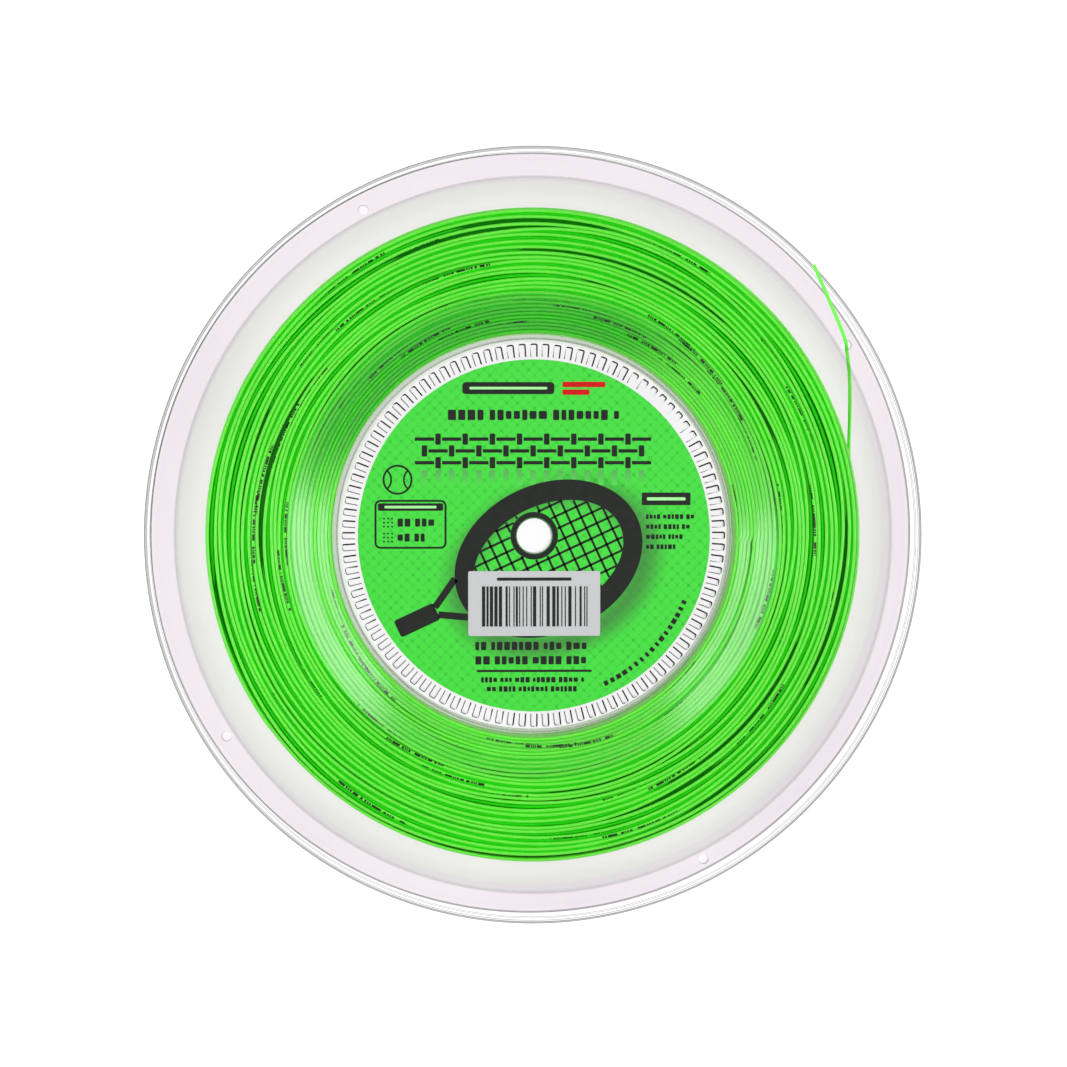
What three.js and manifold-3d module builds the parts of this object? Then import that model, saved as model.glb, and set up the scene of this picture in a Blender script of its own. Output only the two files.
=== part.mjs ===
// String reel: two clear moulded spool halves pressed together, with a wound string pack between them.
// Millimetres, +Z up. The reel lies on its rear rim, and the origin is the centre of that rim's plane.
import * as THREE from "three";
import { mergeVertices } from "three/addons/utils/BufferGeometryUtils.js";
import Module from "manifold-3d";

const wasm = await Module();
wasm.setup();

// Spool as a whole
const reelDiameter = 270;
const reelThickness = 28; // over the beads of both rims
const shellWall = 1.6; // moulded wall of both halves
const fitGap = 0.3; // clearance wherever two pieces meet
const cutOverrun = 1; // how far a cutter reaches past the faces that it cuts

// Flange of each half, from the rim inwards
const beadWidth = 2.6;
const beadHeight = 3.2;
const beadRound = 0.6;
const bandRecess = 1; // the flat band lies this far inside the bead's face
const bandWidth = 7.9;
const shoulderWidth = 4.5; // sloping step between the band and the web
const shoulderDepth = 3.6;
const shoulderRound = 1.4;

// Threading holes, through the band of the front half only
const threadHoleDiameter = 3.4;
const threadHoleInsetShare = 0.66; // of the band's width, in from the bead
const threadHoleAngles = [31.4, 117.7, 213, 297.6]; // degrees from +X

// Hub: the front half carries the drum wall, and the rear half a sleeve inside it
const drumDiameter = 140.8;
const boreDiameter = 12;
const collarWall = 1.6;
const toothSpacing = 3.93; // between the rear half's teeth, round their root circle
const toothWidth = 2.6; // of the rear half's teeth
const toothHeight = 4.6; // along the radius
const toothRound = 0.7;
const toothEngagement = 5; // how deep the front teeth reach down between the rear ones

// Paper on the hub's front face
const glueFilm = 0.05;
const labelThickness = 0.2;
const labelMargin = 1; // from the label's edge to the root of the teeth
const labelHoleMargin = 0.3; // from the bore to the label's hole
const stickerWidth = 46;
const stickerHeight = 22.6;
const stickerThickness = 0.15;
const stickerDropShare = 0.385; // of the label's radius, from the bore down to the sticker's centre

// String
const stringDiameter = 1.25;
const packDepth = 43.9; // of the wound string, out from the drum wall
const faceLoops = 14; // on the pack's front face, from the drum out to the edge
const sideLoops = 6; // round the pack's outside, from the front flange back to the rear one
const tailAngle = 6; // degrees from +X, where the string leaves the pack
const stepsPerLoop = 24;
const windingSides = 6;
const tailSides = 8;
const tailSteps = 36;
const samplesPerStep = 3; // points on each straight of the winding when its gap is measured

// The string's free end: out of the pack, forward to a threading hole, through it and over the rim.
const tailRoute = [
  [112.89, 13.42, 7.18],
  [112.6, 16.2, 7.18],
  [112.42, 19.6, 7.18],
  [112.3, 24, 7.22],
  [112.18, 28, 7.5],
  [112.05, 32, 8.4],
  [111.92, 36, 10],
  [111.75, 40, 11.95],
  [111.55, 44, 13.95],
  [111.3, 48, 15.95],
  [110.95, 52, 17.95],
  [110.5, 56, 19.95],
  [109.9, 60, 21.95],
  [109.45, 62.3, 23.12],
  [109.15, 63.7, 23.82],
  [108.95, 64.7, 24.42],
  [108.7, 65.76, 25.47],
  [108.55, 66.3, 26.2],
  [108.35, 66.84, 26.91],
  [107.9, 68, 27.98],
  [107.1, 70, 28.76],
  [106.1, 72.5, 28.9],
  [104.2, 77, 28.94],
  [101.8, 82.5, 28.98],
  [99.3, 88.2, 29],
  [96.7, 94, 29.02],
];

// Segments that a turned piece and a small hole are drawn with
const turnSegments = 56;
const holeSegments = 16;
const shoulderSteps = 2;
const mergeTolerance = 1e-4;

// Radii and heights that follow from the sizes above
const reelRadius = reelDiameter / 2;
const beadInnerRadius = reelRadius - beadWidth;
const bandInnerRadius = beadInnerRadius - bandWidth;
const webRadius = bandInnerRadius - shoulderWidth;
const webRecess = bandRecess + shoulderDepth;
const webInside = webRecess + shellWall; // from the rim's plane to the web's face on the string's side
const shoulderAngle = Math.atan2(shoulderDepth, shoulderWidth);
const innerShift = shellWall * Math.tan(shoulderAngle / 2); // keeps the wall even round the shoulder
const threadHoleRadius = beadInnerRadius - threadHoleInsetShare * bandWidth;

const drumRadius = drumDiameter / 2;
const drumInnerRadius = drumRadius - shellWall;
const boreRadius = boreDiameter / 2;
const collarRadius = boreRadius + collarWall;
const collarTop = reelThickness / 2 - fitGap / 2; // both collars meet at the middle
const frontWebInside = reelThickness - webInside;
const crownLand = shellWall; // ring inside the drum wall that carries the front teeth
const crownRootRadius = drumInnerRadius - crownLand;
const toothTipRadius = crownRootRadius - fitGap;
const toothRootRadius = toothTipRadius - toothHeight;
const sleeveRadius = toothRootRadius - shellWall;
const toothCount = Math.round((2 * Math.PI * toothRootRadius) / toothSpacing);
const toothPitch = (2 * Math.PI) / toothCount;
const frontToothWidth = toothPitch * toothRootRadius - toothWidth - 2 * fitGap;

const hubFace = reelThickness - webRecess;
const labelRadius = toothRootRadius - labelMargin;
const labelBottom = hubFace + glueFilm;
const labelTop = labelBottom + labelThickness;

const stringRadius = stringDiameter / 2;
const loopSag = Math.cos(Math.PI / stepsPerLoop); // a loop's straights cut inside its circle by this share
const outerLoopRadius = drumRadius + packDepth - stringRadius;
const innerLoopRadius = (drumRadius + fitGap + stringRadius) / loopSag;
const faceHeight = frontWebInside - fitGap - stringRadius;
const rearHeight = webInside + fitGap + stringRadius;

const clearPlastic = { color: 0xf1eef3, roughness: 0.08, metalness: 0, transparent: true, opacity: 0.35 };
const stringGreen = { color: 0x3fe42a, roughness: 0.35, metalness: 0 };
const labelGreen = { color: 0x35c94a, roughness: 0.3, metalness: 0 };
const stickerSilver = { color: 0xc3c6c4, roughness: 0.4, metalness: 0 };

const reel = new THREE.Group();

function addPiece(name, geometry, finish) {
  const mesh = new THREE.Mesh(geometry, new THREE.MeshStandardMaterial(finish));
  mesh.name = name;
  reel.add(mesh);
  return mesh;
}

// A closed three.js geometry as a solid for cutting and joining.
function solidOf(geometry) {
  const bare = geometry.clone();
  bare.deleteAttribute("normal");
  bare.deleteAttribute("uv");
  const merged = mergeVertices(bare, mergeTolerance);
  return new wasm.Manifold(
    new wasm.Mesh({
      numProp: 3,
      vertProperties: new Float32Array(merged.attributes.position.array),
      triVerts: new Uint32Array(merged.index.array),
    }),
  );
}

function geometryOf(solid) {
  const mesh = solid.getMesh();
  const geometry = new THREE.BufferGeometry();
  geometry.setAttribute("position", new THREE.BufferAttribute(mesh.vertProperties, 3));
  geometry.setIndex(new THREE.BufferAttribute(mesh.triVerts, 1));
  const flat = geometry.toNonIndexed();
  flat.computeVertexNormals();
  return flat;
}

// Turns an outline into a polyline whose corners with a round are curved off.
// Each corner is [radius, height, round, steps].
function roundedOutline(corners) {
  const points = [];
  corners.forEach(([x, y, round = 0, steps = 1], i) => {
    const corner = new THREE.Vector2(x, y);
    if (round === 0) {
      points.push(corner);
      return;
    }
    const before = corners.at(i - 1);
    const after = corners[(i + 1) % corners.length];
    const start = new THREE.Vector2(before[0], before[1]).sub(corner).setLength(round).add(corner);
    const end = new THREE.Vector2(after[0], after[1]).sub(corner).setLength(round).add(corner);
    points.push(...new THREE.QuadraticBezierCurve(start, corner, end).getPoints(steps));
  });
  return points;
}

// Revolves a closed outline of [radius, height] about +Z.
function turned(corners) {
  const outline = roundedOutline(corners);
  outline.push(outline[0].clone());
  return new THREE.LatheGeometry(outline, turnSegments).rotateX(Math.PI / 2);
}

// Corners of a half's outer face, from the bore out to the rim, then back along its inner face to the web.
// Heights count from the rim's plane inwards.
function flangeCorners() {
  return [
    [boreRadius, webRecess],
    [webRadius, webRecess, shoulderRound, shoulderSteps],
    [bandInnerRadius, bandRecess, shoulderRound, shoulderSteps],
    [beadInnerRadius, bandRecess],
    [beadInnerRadius, 0, beadRound],
    [reelRadius, 0, beadRound],
    [reelRadius, beadHeight, beadRound],
    [beadInnerRadius, beadHeight],
    [beadInnerRadius, bandRecess + shellWall],
    [bandInnerRadius + innerShift, bandRecess + shellWall, shoulderRound, shoulderSteps],
    [webRadius + innerShift, webInside, shoulderRound, shoulderSteps],
  ];
}

// The bore's collar, which closes a half's outline on its inner side.
function collarCorners() {
  return [
    [collarRadius, webInside],
    [collarRadius, collarTop],
    [boreRadius, collarTop],
  ];
}

// Points of a ring of teeth, on its root circle and out (or in) to its tip circle.
function toothedOutline(rootRadius, tipRadius, width, round) {
  const half = width / 2;
  const inward = Math.sign(tipRadius - rootRadius);
  const rootX = Math.sqrt(rootRadius ** 2 - half ** 2);
  const flank = round === 0 ? [] : [[tipRadius - inward * round, half]];
  const upper = [[rootX, half], ...flank, [tipRadius, half - round]];
  const profile = [...upper.map(([x, y]) => [x, -y]), ...upper.reverse()];
  const points = [];
  for (let k = 0; k < toothCount; k++)
    for (const [x, y] of profile)
      points.push(new THREE.Vector2(x, y).rotateAround(new THREE.Vector2(), k * toothPitch));
  return points;
}

function circlePath(radius) {
  return new THREE.Path().absarc(0, 0, radius, 0, 2 * Math.PI, false).getPoints(turnSegments).slice(0, -1);
}

// Extrudes an outline with one hole from one height up to another.
function ringBetween(outer, inner, bottom, top) {
  const shape = new THREE.Shape(outer);
  shape.holes.push(new THREE.Path(inner));
  const options = { depth: top - bottom, bevelEnabled: false, steps: 1 };
  return new THREE.ExtrudeGeometry(shape, options).translate(0, 0, bottom);
}

function rearHalf() {
  const shell = solidOf(turned([...flangeCorners(), ...collarCorners()]));
  const teeth = ringBetween(
    toothedOutline(toothRootRadius, toothTipRadius, toothWidth, toothRound),
    circlePath(sleeveRadius),
    webInside - shellWall / 2,
    frontWebInside - fitGap,
  );
  return shell.add(solidOf(teeth));
}

function frontHalf() {
  const drumCorners = [
    [drumRadius, webInside],
    [drumRadius, frontWebInside - fitGap],
    [drumInnerRadius, frontWebInside - fitGap],
    [drumInnerRadius, webInside],
  ];
  const corners = [...flangeCorners(), ...drumCorners, ...collarCorners()];
  const shell = solidOf(turned(corners));
  const crown = ringBetween(
    circlePath(drumRadius - shellWall / 2),
    toothedOutline(crownRootRadius, toothRootRadius + fitGap, frontToothWidth, 0),
    webInside - shellWall / 2,
    webInside + toothEngagement,
  ).rotateZ(toothPitch / 2);
  let half = shell.add(solidOf(crown));
  for (const angle of threadHoleAngles) {
    const hole = new THREE.CylinderGeometry(
      threadHoleDiameter / 2,
      threadHoleDiameter / 2,
      webInside + 2 * cutOverrun,
      holeSegments,
    );
    hole.rotateX(Math.PI / 2).translate(threadHoleRadius, 0, webInside / 2);
    half = half.subtract(solidOf(hole.rotateZ(-THREE.MathUtils.degToRad(angle))));
  }
  return half;
}

// The front half is drawn with its rim's plane at zero like the rear one, then turned over about X.
addPiece("rear_half", geometryOf(rearHalf()), clearPlastic);
const frontGeometry = geometryOf(frontHalf()).rotateX(Math.PI).translate(0, 0, reelThickness);
addPiece("front_half", frontGeometry, clearPlastic);

// Printed label round the bore, and the bar sticker on it
const labelHoleRadius = boreRadius + labelHoleMargin;
const labelCorners = [
  [labelHoleRadius, labelBottom],
  [labelRadius, labelBottom],
  [labelRadius, labelTop],
  [labelHoleRadius, labelTop],
];
addPiece("front_label", turned(labelCorners), labelGreen);

const stickerGeometry = new THREE.BoxGeometry(stickerWidth, stickerHeight, stickerThickness);
const barSticker = addPiece("bar_sticker", stickerGeometry, stickerSilver);
barSticker.position.set(0, -stickerDropShare * labelRadius, labelTop + glueFilm + stickerThickness / 2);

// The inner layers of the string pack, plain, with room left for the strands that lie on them
const coreRadius = outerLoopRadius * loopSag - stringRadius - fitGap;
const coreCorners = [
  [drumRadius + fitGap, webInside + fitGap],
  [coreRadius, webInside + fitGap],
  [coreRadius, faceHeight - stringRadius - fitGap],
  [drumRadius + fitGap, faceHeight - stringRadius - fitGap],
];
addPiece("string_core", turned(coreCorners), stringGreen);

// Centre line of the outer strand: a spiral out over the front face, then a helix back round the outside.
function windingRoute() {
  const faceSteps = faceLoops * stepsPerLoop;
  const sideSteps = sideLoops * stepsPerLoop;
  const endAngle = THREE.MathUtils.degToRad(tailAngle);
  const stepAngle = (2 * Math.PI) / stepsPerLoop;
  const route = [];
  for (let i = 0; i <= faceSteps + sideSteps; i++) {
    const angle = endAngle - (faceSteps + sideSteps - i) * stepAngle;
    const spiral = Math.min(i / faceSteps, 1);
    const helix = Math.max((i - faceSteps) / sideSteps, 0);
    const radius = THREE.MathUtils.lerp(innerLoopRadius, outerLoopRadius, spiral);
    const height = THREE.MathUtils.lerp(faceHeight, rearHeight, helix);
    route.push(new THREE.Vector3(radius * Math.cos(angle), radius * Math.sin(angle), height));
  }
  return route;
}

// Runs both ends of a route on, straight along the circle's tangent, for one string diameter.
function withStraightEnds(route) {
  const along = (point) => new THREE.Vector3(-point.y, point.x, 0).setLength(stringDiameter);
  const first = route[0];
  const last = route.at(-1);
  return [first.clone().sub(along(first)), ...route, last.clone().add(along(last))];
}

// One unbroken tube along a route of points, with flat ends.
function tubeAlong(route, radius, sides) {
  const up = new THREE.Vector3(0, 0, 1);
  const positions = [];
  const indices = [];
  route.forEach((point, i) => {
    const before = route[Math.max(i - 1, 0)];
    const after = route[Math.min(i + 1, route.length - 1)];
    const reach = point.clone().sub(before).normalize().add(after.clone().sub(point).normalize());
    const tangent = reach.normalize();
    const across = tangent.clone().cross(up).normalize();
    const over = across.clone().cross(tangent);
    for (let k = 0; k < sides; k++) {
      const angle = (2 * Math.PI * k) / sides;
      const rim = point.clone().addScaledVector(across, radius * Math.cos(angle));
      rim.addScaledVector(over, radius * Math.sin(angle));
      positions.push(rim.x, rim.y, rim.z);
    }
  });
  const ring = (i, k) => i * sides + (k % sides);
  const lastRing = route.length - 1;
  for (let i = 0; i < lastRing; i++)
    for (let k = 0; k < sides; k++) {
      indices.push(ring(i, k), ring(i + 1, k), ring(i, k + 1));
      indices.push(ring(i, k + 1), ring(i + 1, k), ring(i + 1, k + 1));
    }
  for (let k = 1; k < sides - 1; k++) {
    indices.push(ring(0, 0), ring(0, k), ring(0, k + 1));
    indices.push(ring(lastRing, 0), ring(lastRing, k + 1), ring(lastRing, k));
  }
  const geometry = new THREE.BufferGeometry();
  geometry.setAttribute("position", new THREE.Float32BufferAttribute(positions, 3));
  geometry.setIndex(indices);
  geometry.computeVertexNormals();
  return geometry;
}

// Least gap between a tube's loops, measured on points along its centre line.
function leastGap(route, diameter) {
  const samples = [];
  for (let i = 0; i + 1 < route.length; i++)
    for (let k = 0; k < samplesPerStep; k++)
      samples.push(route[i].clone().lerp(route[i + 1], k / samplesPerStep));
  const halfLoop = (stepsPerLoop * samplesPerStep) / 2;
  let least = Infinity;
  for (let i = 0; i < samples.length; i++)
    for (let j = i + halfLoop; j < samples.length; j++)
      least = Math.min(least, samples[i].distanceTo(samples[j]));
  return least - diameter;
}

const windingLine = withStraightEnds(windingRoute());
console.log("string_winding least gap to itself: " + leastGap(windingLine, stringDiameter).toFixed(3) + " mm");
addPiece("string_winding", tubeAlong(windingLine, stringRadius, windingSides), stringGreen);

// Free end of the string
function tailGeometry() {
  const curve = new THREE.CatmullRomCurve3(tailRoute.map((point) => new THREE.Vector3(...point)));
  const section = [];
  for (let k = 0; k < tailSides; k++) {
    const angle = (2 * Math.PI * (k + 1 / 2)) / tailSides;
    section.push(new THREE.Vector2(stringRadius * Math.cos(angle), stringRadius * Math.sin(angle)));
  }
  console.log("string_tail length: " + curve.getLength().toFixed(2) + " mm");
  return new THREE.ExtrudeGeometry(new THREE.Shape(section), { extrudePath: curve, steps: tailSteps });
}
addPiece("string_tail", tailGeometry(), stringGreen);

export default reel;
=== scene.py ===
import math
import random

import bmesh
import bpy
from mathutils import Matrix, Vector


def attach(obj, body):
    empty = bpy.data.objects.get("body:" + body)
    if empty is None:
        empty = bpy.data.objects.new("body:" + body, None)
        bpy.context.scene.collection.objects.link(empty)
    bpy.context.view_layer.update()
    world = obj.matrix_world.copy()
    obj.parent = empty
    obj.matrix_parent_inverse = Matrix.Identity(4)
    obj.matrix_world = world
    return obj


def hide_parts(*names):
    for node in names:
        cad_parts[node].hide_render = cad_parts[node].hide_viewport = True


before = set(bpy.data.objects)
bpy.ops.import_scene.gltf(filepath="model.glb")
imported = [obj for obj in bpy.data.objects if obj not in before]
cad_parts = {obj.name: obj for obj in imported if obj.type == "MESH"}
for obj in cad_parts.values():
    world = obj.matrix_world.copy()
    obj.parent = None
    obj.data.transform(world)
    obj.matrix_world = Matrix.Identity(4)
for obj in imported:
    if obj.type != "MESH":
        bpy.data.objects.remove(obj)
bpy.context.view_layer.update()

scene = bpy.context.scene
scene.view_settings.view_transform = "Standard"
metresPerMm = 0.001  # sizes are in millimetres, and a finished mesh is scaled to metres
fullTurn = 2 * math.pi
sharpCorner = math.radians(35)  # a corner that turns more than this isn't smoothed over
weldDistance = 0.001  # points closer than this become one
print("frame loaded")


def newObject(name, data):
    made = bpy.data.objects.new(name, data)
    scene.collection.objects.link(made)
    return made


# Camera: where the photograph was taken from.
camera = {
    "photoPixels": 1067,
    "reelPixels": 779.2,  # the rim's diameter in the photograph
    "reelDiameter": 270,
    "aim": (-0.42, 0.9, 28),
    "place": (-41, 31.5, 1088),
    "sensor": 36,
}
aim = Vector(camera["aim"]) * metresPerMm
place = Vector(camera["place"]) * metresPerMm
backward = (place - aim).normalized()
rightward = Vector((0, 1, 0)).cross(backward).normalized()
upward = backward.cross(rightward)
cameraData = bpy.data.cameras.new("camera")
cameraData.sensor_width = camera["sensor"]
mmAcrossFrame = camera["reelDiameter"] * camera["photoPixels"] / camera["reelPixels"]
cameraData.lens = camera["sensor"] * (place - aim).length / (mmAcrossFrame * metresPerMm)
cameraObject = newObject("camera", cameraData)
turned = Matrix((rightward, upward, backward)).transposed().to_4x4()
cameraObject.matrix_world = Matrix.Translation(place) @ turned
scene.camera = cameraObject
print("camera placed")


# A written sRGB colour as the linear one that nodes take.
def linearColour(code):
    channels = [int(code[i : i + 2], 16) / 255 for i in (1, 3, 5)]
    return [c / 12.92 if c <= 0.04045 else ((c + 0.055) / 1.055) ** 2.4 for c in channels] + [1]


# Adds a node with its settings and links. A link that names a node takes its first output.
def addNode(tree, kind, values=None, links=None):
    node = tree.nodes.new("ShaderNode" + kind)
    for key, value in (values or {}).items():
        if isinstance(key, str) and hasattr(node, key):
            setattr(node, key, value)
        else:
            node.inputs[key].default_value = value
    for key, source in (links or {}).items():
        tree.links.new(source.outputs[0] if hasattr(source, "outputs") else source, node.inputs[key])
    return node


def newMaterial(name):
    material = bpy.data.materials.new(name)
    material.use_nodes = True
    material.node_tree.nodes.clear()
    return material, material.node_tree


# Two colours mixed by a soft noise.
def mottled(tree, place, scale, detail, first, second):
    noise = addNode(tree, "TexNoise", {"Scale": scale, "Detail": detail}, {"Vector": place})
    return addNode(tree, "Mix", {"data_type": "RGBA", 6: linearColour(first), 7: linearColour(second)},
                   {0: noise}).outputs[2]


# Finishes an opaque material from its colour and its gloss.
def coated(material, colour, roughness, specular=0.5, ior=1.4):
    tree = material.node_tree
    shader = addNode(tree, "BsdfPrincipled", {"Roughness": roughness, "IOR": ior, "Specular IOR Level": specular},
                     {"Base Color": colour})
    addNode(tree, "OutputMaterial", links={"Surface": shader})
    return material


# Distance from the reel's axis in millimetres, from the piece's own coordinates.
def radiusInMm(tree):
    coordinates = addNode(tree, "TexCoord").outputs["Object"]
    flat = addNode(tree, "VectorMath", {"operation": "MULTIPLY", 1: (1000, 1000, 0)}, {0: coordinates})
    return addNode(tree, "VectorMath", {"operation": "LENGTH"}, {0: flat}).outputs["Value"]


# A point on a circle, from its angle in radians.
def onCircle(radius, angle, centre=(0, 0)):
    return centre[0] + radius * math.cos(angle), centre[1] + radius * math.sin(angle)


# Places a finished mesh or curve on the reel.
def placePiece(name, data, replaced=()):
    piece = newObject(name, data)
    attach(piece, "root")
    if replaced:
        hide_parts(*replaced)
    return piece


# Brings a bmesh in millimetres to a finished piece: metres, and smooth but for its sharp corners.
def finishPiece(name, bm, materials, replaced=()):
    bmesh.ops.scale(bm, vec=(metresPerMm,) * 3, verts=bm.verts)
    for face in bm.faces:
        face.smooth = True
    for edge in bm.edges:
        edge.smooth = len(edge.link_faces) == 2 and edge.calc_face_angle(0) < sharpCorner
    mesh = bpy.data.meshes.new(name)
    bm.to_mesh(mesh)
    bm.free()
    for material in materials:
        mesh.materials.append(material)
    return placePiece(name, mesh, replaced)


# Pulls flat faces up into a solid, and gives back the new faces.
def raiseFaces(bm, depth):
    made = bmesh.ops.extrude_face_region(bm, geom=bm.faces[:], use_keep_orig=True)["geom"]
    upper = [g for g in made if isinstance(g, bmesh.types.BMVert)]
    bmesh.ops.translate(bm, vec=(0, 0, depth), verts=upper)
    bmesh.ops.recalc_face_normals(bm, faces=bm.faces)
    return {g for g in made if isinstance(g, bmesh.types.BMFace)}


# Turns a closed outline round the reel's axis. A corner is its radius, height, rounding and segments, or only the
# first two if it is sharp.
def turnedShell(corners, steps):
    bm = bmesh.new()
    verts = [bm.verts.new((corner[0], 0, corner[1])) for corner in corners]
    bm.faces.new(verts)
    for vert, corner in zip(verts, corners):
        if len(corner) > 2:
            bmesh.ops.bevel(bm, geom=[vert], offset=corner[2], offset_type="OFFSET", affect="VERTICES",
                            segments=corner[3], profile=0.5, material=-1)
    bmesh.ops.delete(bm, geom=bm.faces[:], context="FACES_ONLY")
    bmesh.ops.spin(bm, geom=bm.verts[:] + bm.edges[:], cent=(0, 0, 0), axis=(0, 0, 1),
                   angle=fullTurn, steps=steps, use_merge=True)
    bmesh.ops.remove_doubles(bm, verts=bm.verts, dist=weldDistance)
    bmesh.ops.recalc_face_normals(bm, faces=bm.faces)
    return bm


# Free end of the string, over the front rim.
string = {
    "diameter": 1.25,
    "tailLength": 88.8,
    "tailRoute": [
        (112.89, 13.42, 7.18), (112.6, 16.2, 7.18), (112.42, 19.6, 7.18), (112.3, 24, 7.22), (112.18, 28, 7.5),
        (112.05, 32, 8.4), (111.92, 36, 10), (111.75, 40, 11.95), (111.55, 44, 13.95), (111.3, 48, 15.95),
        (110.95, 52, 17.95), (110.5, 56, 19.95), (109.9, 60, 21.95), (109.45, 62.3, 23.12), (109.15, 63.7, 23.82),
        (108.95, 64.7, 24.42), (108.7, 65.76, 25.47), (108.55, 66.3, 26.2), (108.35, 66.84, 26.91),
        (107.9, 68, 27.98), (107.1, 70, 28.76), (106.1, 72.5, 28.9), (104.2, 77, 28.94), (101.8, 82.5, 28.98),
        (99.3, 88.2, 29), (96.7, 94, 29.02),
    ],
    "curveSteps": 4,
}


stringFinish = {
    "patchScale": 90.0,  # patches of shade about 11 mm across
    "ior": 1.58, "roughness": 0.3,
    # The paintedShade entries set where a darker green is painted over the first turns near the drum, as shade.
    "towardsTop": (-0.35, 1, 0), "paintedShadeFrom": 0.036, "paintedShadeFull": 0.062,  # metres from the axis towards the top
    "paintedShadeOuter": 88.0, "paintedShadeInner": 78.0, "paintedShadeShare": 0.8, "paintedShadeColour": "#1ed008",
    "rollLength": 95.0, "stripEdge": 0.37,  # the dashes keep to one side of the string, and it rolls over slowly
    "rowPitch": 97.0, "rowShare": 0.24, "rowsMissing": 0.3,
    "dashPitch": 2.1, "dashShare": 0.66, "dashSwing": 0.9, "dashColour": "#021004",
}


# Smooth polyester monofilament: bright green through its whole depth, with soft narrow highlights along it. Given
# its length in millimetres, it also gets short rows of plain black dashes that come and go as the string rolls over,
# and a painted shade: a darker green over the turns near the drum, towards the top.
def stringMaterial(name, base, deep, specular, printedLength=0):
    f = stringFinish
    material, tree = newMaterial(name)
    coordinates = addNode(tree, "TexCoord")
    place = coordinates.outputs["Object"]
    colour = mottled(tree, place, f["patchScale"], 3.0, base, deep)
    if printedLength:
        # Painted shade: a darker green over the turns near the drum, towards the top.
        height = addNode(tree, "VectorMath", {"operation": "DOT_PRODUCT", 1: f["towardsTop"]}, {0: place})
        aloft = addNode(tree, "MapRange", {"interpolation_type": "SMOOTHSTEP", 1: f["paintedShadeFrom"], 2: f["paintedShadeFull"]},
                        {0: height.outputs["Value"]})
        nearDrum = addNode(tree, "MapRange", {"interpolation_type": "SMOOTHSTEP", 1: f["paintedShadeOuter"],
                                              2: f["paintedShadeInner"], 3: 0.0, 4: f["paintedShadeShare"]},
                           {0: radiusInMm(tree)})
        paintedShade = addNode(tree, "Math", {"operation": "MULTIPLY"}, {0: aloft, 1: nearDrum})
        colour = addNode(tree, "Mix", {"data_type": "RGBA", 7: linearColour(f["paintedShadeColour"])},
                         {0: paintedShade, 6: colour}).outputs[2]
        strip = addNode(tree, "SeparateXYZ", links={0: coordinates.outputs["UV"]})
        along = addNode(tree, "Math", {"operation": "MULTIPLY", 1: printedLength}, {0: strip})
        roll = addNode(tree, "Math", {"operation": "DIVIDE", 1: f["rollLength"]}, {0: along})
        roll = addNode(tree, "Math", {"operation": "SINE"}, {0: roll})
        roll = addNode(tree, "Math", {"operation": "ADD"}, {0: roll, 1: strip.outputs[1]})
        offset = addNode(tree, "Math", {"operation": "PINGPONG", 1: 0.5}, {0: roll})
        inStrip = addNode(tree, "Math", {"operation": "GREATER_THAN", 1: f["stripEdge"]}, {0: offset})
        rows = addNode(tree, "Math", {"operation": "DIVIDE", 1: f["rowPitch"]}, {0: along})
        inRow = addNode(tree, "Math", {"operation": "FRACT"}, {0: rows})
        inRow = addNode(tree, "Math", {"operation": "LESS_THAN", 1: f["rowShare"]}, {0: inRow})
        rowNumber = addNode(tree, "Math", {"operation": "FLOOR"}, {0: rows})
        chance = addNode(tree, "TexWhiteNoise", {"noise_dimensions": "1D"}, {"W": rowNumber}).outputs["Value"]
        showing = addNode(tree, "Math", {"operation": "GREATER_THAN", 1: f["rowsMissing"]}, {0: chance})
        dashes = addNode(tree, "Math", {"operation": "MULTIPLY", 1: f["dashSwing"]}, {0: along})
        dashes = addNode(tree, "Math", {"operation": "SINE"}, {0: dashes})
        dashes = addNode(tree, "Math", {"operation": "MULTIPLY_ADD", 1: 1 / f["dashPitch"]}, {0: along, 2: dashes})
        dashes = addNode(tree, "Math", {"operation": "FRACT"}, {0: dashes})
        ink = addNode(tree, "Math", {"operation": "LESS_THAN", 1: f["dashShare"]}, {0: dashes})
        for gate in (inStrip, inRow, showing):
            ink = addNode(tree, "Math", {"operation": "MULTIPLY"}, {0: ink, 1: gate})
        colour = addNode(tree, "Mix", {"data_type": "RGBA", 7: linearColour(f["dashColour"])},
                         {0: ink, 6: colour}).outputs[2]
    return coated(material, colour, f["roughness"], specular, f["ior"])


polyester = stringMaterial("extrudedPolyester", "#78ff4a", "#60fa34", 0.5)
# Deep in the pack the string has little gloss, and its darker green is painted shade.
polyesterBelowPaintedShade = stringMaterial("extrudedPolyesterBelowPaintedShade", "#2cea14", "#20d00c", 0.08)
polyesterDeepPaintedShade = stringMaterial("extrudedPolyesterDeepPaintedShade", "#0a8c04", "#087803", 0.06)


# A curve as thick as the string, still without its points.
def stringCurve(name, roundness):
    curve = bpy.data.curves.new(name, "CURVE")
    curve.dimensions = "3D"
    curve.bevel_depth = string["diameter"] / 2 * metresPerMm
    curve.bevel_resolution = roundness
    curve.use_fill_caps = True
    return curve


tailCurve = stringCurve("string_free_end", 4)
tailCurve.resolution_u = string["curveSteps"]
tailSpline = tailCurve.splines.new("BEZIER")
tailSpline.bezier_points.add(len(string["tailRoute"]) - 1)
for knot, point in zip(tailSpline.bezier_points, string["tailRoute"]):
    knot.co = Vector(point) * metresPerMm
    knot.handle_left_type = knot.handle_right_type = "AUTO"
tailCurve.materials.append(polyester)
tail = placePiece("string_free_end", tailCurve, ["string_tail"])
print("free end laid")


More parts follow.
